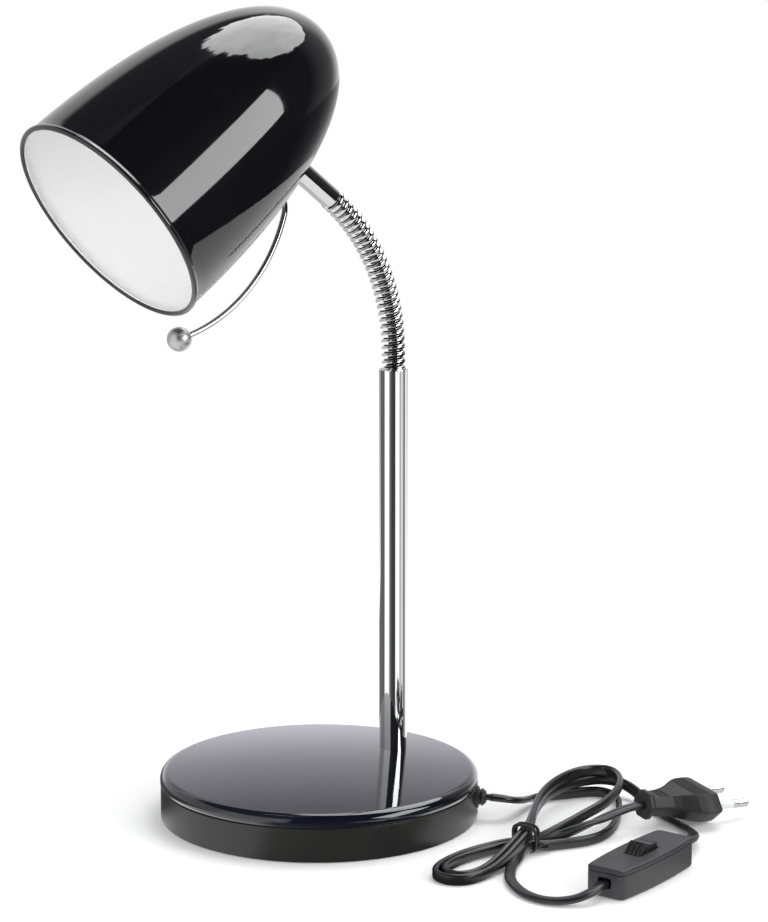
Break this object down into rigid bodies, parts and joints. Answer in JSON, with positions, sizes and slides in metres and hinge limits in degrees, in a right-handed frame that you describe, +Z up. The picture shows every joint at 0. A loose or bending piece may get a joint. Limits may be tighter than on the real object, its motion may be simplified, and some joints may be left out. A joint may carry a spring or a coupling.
{
  "type": "gooseneck desk lamp",
  "caption": "Desk lamp with a bullet-shaped metal shade and grab rod on a coiled gooseneck, a straight pole, a round weighted base, and a hanked cord with inline rocker switch and plug.",
  "frame": {"origin": "centre of the base pad's underside, on the surface that the lamp stands on", "axes": "+Z up along the base axis, the pole stands on the +X side and the shade opens towards -X, the neck bends in the XZ plane"},
  "size_m": [0.2995, 0.2552, 0.3779],
  "materials": {
    "black_paint": "high gloss lacquer",
    "tray_plastic": "satin",
    "cast_iron": "raw",
    "foam": "fine foam",
    "zinc_steel": "zinc plated",
    "chrome": "polished",
    "knob_metal": "satin",
    "holder_plastic": "satin",
    "brass": "bright",
    "cord_sheath": "satin",
    "fitting_plastic": "satin",
    "rocker_plastic": "gloss",
    "pin_metal": "nickel plated",
    "sleeve_plastic": "smooth",
    "tie_plastic": "ribbed"
  },
  "bodies": {
    "stand": {"base_ballast": "cast_iron", "base_cover": "black_paint", "base_pad": "foam", "base_tray": "tray_plastic", "cable_clamp": "fitting_plastic", "clamp_screws": "zinc_steel", "cord_base_lead": "cord_sheath", "cord_gland": "fitting_plastic", "cord_hank": "cord_sheath", "cord_plug_lead": "cord_sheath", "cord_switch_lead": "cord_sheath", "cord_switch_tail": "cord_sheath", "hank_tie": "tie_plastic", "neck_root": "chrome", "pin_sleeves": "sleeve_plastic", "plug_body": "fitting_plastic", "plug_pins": "pin_metal", "pole": "chrome", "pole_bush": "zinc_steel", "pole_cable": "cord_sheath", "pole_nipple": "zinc_steel", "pole_nut": "zinc_steel", "pole_washer": "zinc_steel", "switch_base": "fitting_plastic", "switch_cover": "fitting_plastic", "switch_screws": "zinc_steel", "switch_spring": "brass", "switch_terminals": "brass", "tray_screws": "zinc_steel"},
    "head": {"neck_ferrule": "chrome", "shade": "black_paint", "handle_rod": "chrome", "handle_knob": "knob_metal", "handle_nut": "zinc_steel", "holder_bracket": "zinc_steel", "ferrule_washer": "zinc_steel", "ferrule_nut": "zinc_steel", "holder_cap": "holder_plastic", "holder_body": "holder_plastic", "holder_insert": "holder_plastic", "terminal_screws": "brass", "lamp_screw_shell": "brass", "centre_contact": "brass", "holder_nipple": "zinc_steel", "holder_nuts": "zinc_steel", "shade_cable": "cord_sheath"},
    "rocker": {"switch_rocker": "rocker_plastic"},
    "link_01": {"neck_link_01": "chrome"},
    "link_02": {"neck_link_02": "chrome"},
    "link_03": {"neck_link_03": "chrome"},
    "link_04": {"neck_link_04": "chrome"},
    "link_05": {"neck_link_05": "chrome"},
    "link_06": {"neck_link_06": "chrome"},
    "link_07": {"neck_link_07": "chrome"},
    "link_08": {"neck_link_08": "chrome"},
    "link_09": {"neck_link_09": "chrome"},
    "link_10": {"neck_link_10": "chrome"},
    "link_11": {"neck_link_11": "chrome"},
    "link_12": {"neck_link_12": "chrome"},
    "link_13": {"neck_link_13": "chrome"}
  },
  "joints": [
    {"name": "neck_sway_1", "type": "hinge", "parent": "stand", "child": "link_01", "pos_m": [0.044, 0, 0.2166], "axis": [1, 0, 0], "range_deg": [-7.5, 7.5]},
    {"name": "neck_bend_1", "type": "hinge", "parent": "link_01", "child": "link_02", "pos_m": [0.044, 0, 0.2227], "axis": [0, -1, 0], "range_deg": [-14.8, 7]},
    {"name": "neck_sway_2", "type": "hinge", "parent": "link_02", "child": "link_03", "pos_m": [0.04321, 0, 0.22875], "axis": [0.9916, 0, 0.1293], "range_deg": [-7.5, 7.5]},
    {"name": "neck_bend_2", "type": "hinge", "parent": "link_03", "child": "link_04", "pos_m": [0.04242, 0, 0.2348], "axis": [0, -1, 0], "range_deg": [-14.8, 7]},
    {"name": "neck_sway_3", "type": "hinge", "parent": "link_04", "child": "link_05", "pos_m": [0.04086, 0, 0.24069], "axis": [0.9666, 0, 0.2564], "range_deg": [-7.5, 7.5]},
    {"name": "neck_bend_3", "type": "hinge", "parent": "link_05", "child": "link_06", "pos_m": [0.03929, 0, 0.24659], "axis": [0, -1, 0], "range_deg": [-14.8, 7]},
    {"name": "neck_sway_4", "type": "hinge", "parent": "link_06", "child": "link_07", "pos_m": [0.03698, 0, 0.25223], "axis": [0.9253, 0, 0.3792], "range_deg": [-7.5, 7.5]},
    {"name": "neck_bend_4", "type": "hinge", "parent": "link_07", "child": "link_08", "pos_m": [0.03467, 0, 0.25788], "axis": [0, -1, 0], "range_deg": [-14.8, 7]},
    {"name": "neck_sway_5", "type": "hinge", "parent": "link_08", "child": "link_09", "pos_m": [0.03164, 0, 0.26318], "axis": [0.8685, 0, 0.4957], "range_deg": [-7.5, 7.5]},
    {"name": "neck_bend_5", "type": "hinge", "parent": "link_09", "child": "link_10", "pos_m": [0.02862, 0, 0.26847], "axis": [0, -1, 0], "range_deg": [-14.8, 7]},
    {"name": "neck_sway_6", "type": "hinge", "parent": "link_10", "child": "link_11", "pos_m": [0.02494, 0, 0.27334], "axis": [0.7971, 0, 0.6038], "range_deg": [-7.5, 7.5]},
    {"name": "neck_bend_6", "type": "hinge", "parent": "link_11", "child": "link_12", "pos_m": [0.02125, 0, 0.2782], "axis": [0, -1, 0], "range_deg": [-14.8, 7]},
    {"name": "neck_sway_7", "type": "hinge", "parent": "link_12", "child": "link_13", "pos_m": [0.01697, 0, 0.28254], "axis": [0.7124, 0, 0.7018], "range_deg": [-7.5, 7.5]},
    {"name": "neck_bend_7", "type": "hinge", "parent": "link_13", "child": "head", "pos_m": [0.01269, 0, 0.28689], "axis": [0, -1, 0], "range_deg": [-14.8, 7]},
    {"name": "rocker_tilt", "type": "hinge", "parent": "stand", "child": "rocker", "pos_m": [0.056, -0.163, 0.01], "axis": [-0.2756, 0.9613, 0], "range_deg": [0, 16]}
  ],
  "couplings": [
    {"joint": "neck_bend_1", "follows": "neck_bend_7", "ratio": 1},
    {"joint": "neck_bend_2", "follows": "neck_bend_7", "ratio": 1},
    {"joint": "neck_bend_3", "follows": "neck_bend_7", "ratio": 1},
    {"joint": "neck_bend_4", "follows": "neck_bend_7", "ratio": 1},
    {"joint": "neck_bend_5", "follows": "neck_bend_7", "ratio": 1},
    {"joint": "neck_bend_6", "follows": "neck_bend_7", "ratio": 1},
    {"joint": "neck_sway_2", "follows": "neck_sway_1", "ratio": 1},
    {"joint": "neck_sway_3", "follows": "neck_sway_1", "ratio": 1},
    {"joint": "neck_sway_4", "follows": "neck_sway_1", "ratio": 1},
    {"joint": "neck_sway_5", "follows": "neck_sway_1", "ratio": 1},
    {"joint": "neck_sway_6", "follows": "neck_sway_1", "ratio": 1},
    {"joint": "neck_sway_7", "follows": "neck_sway_1", "ratio": 1}
  ]
}
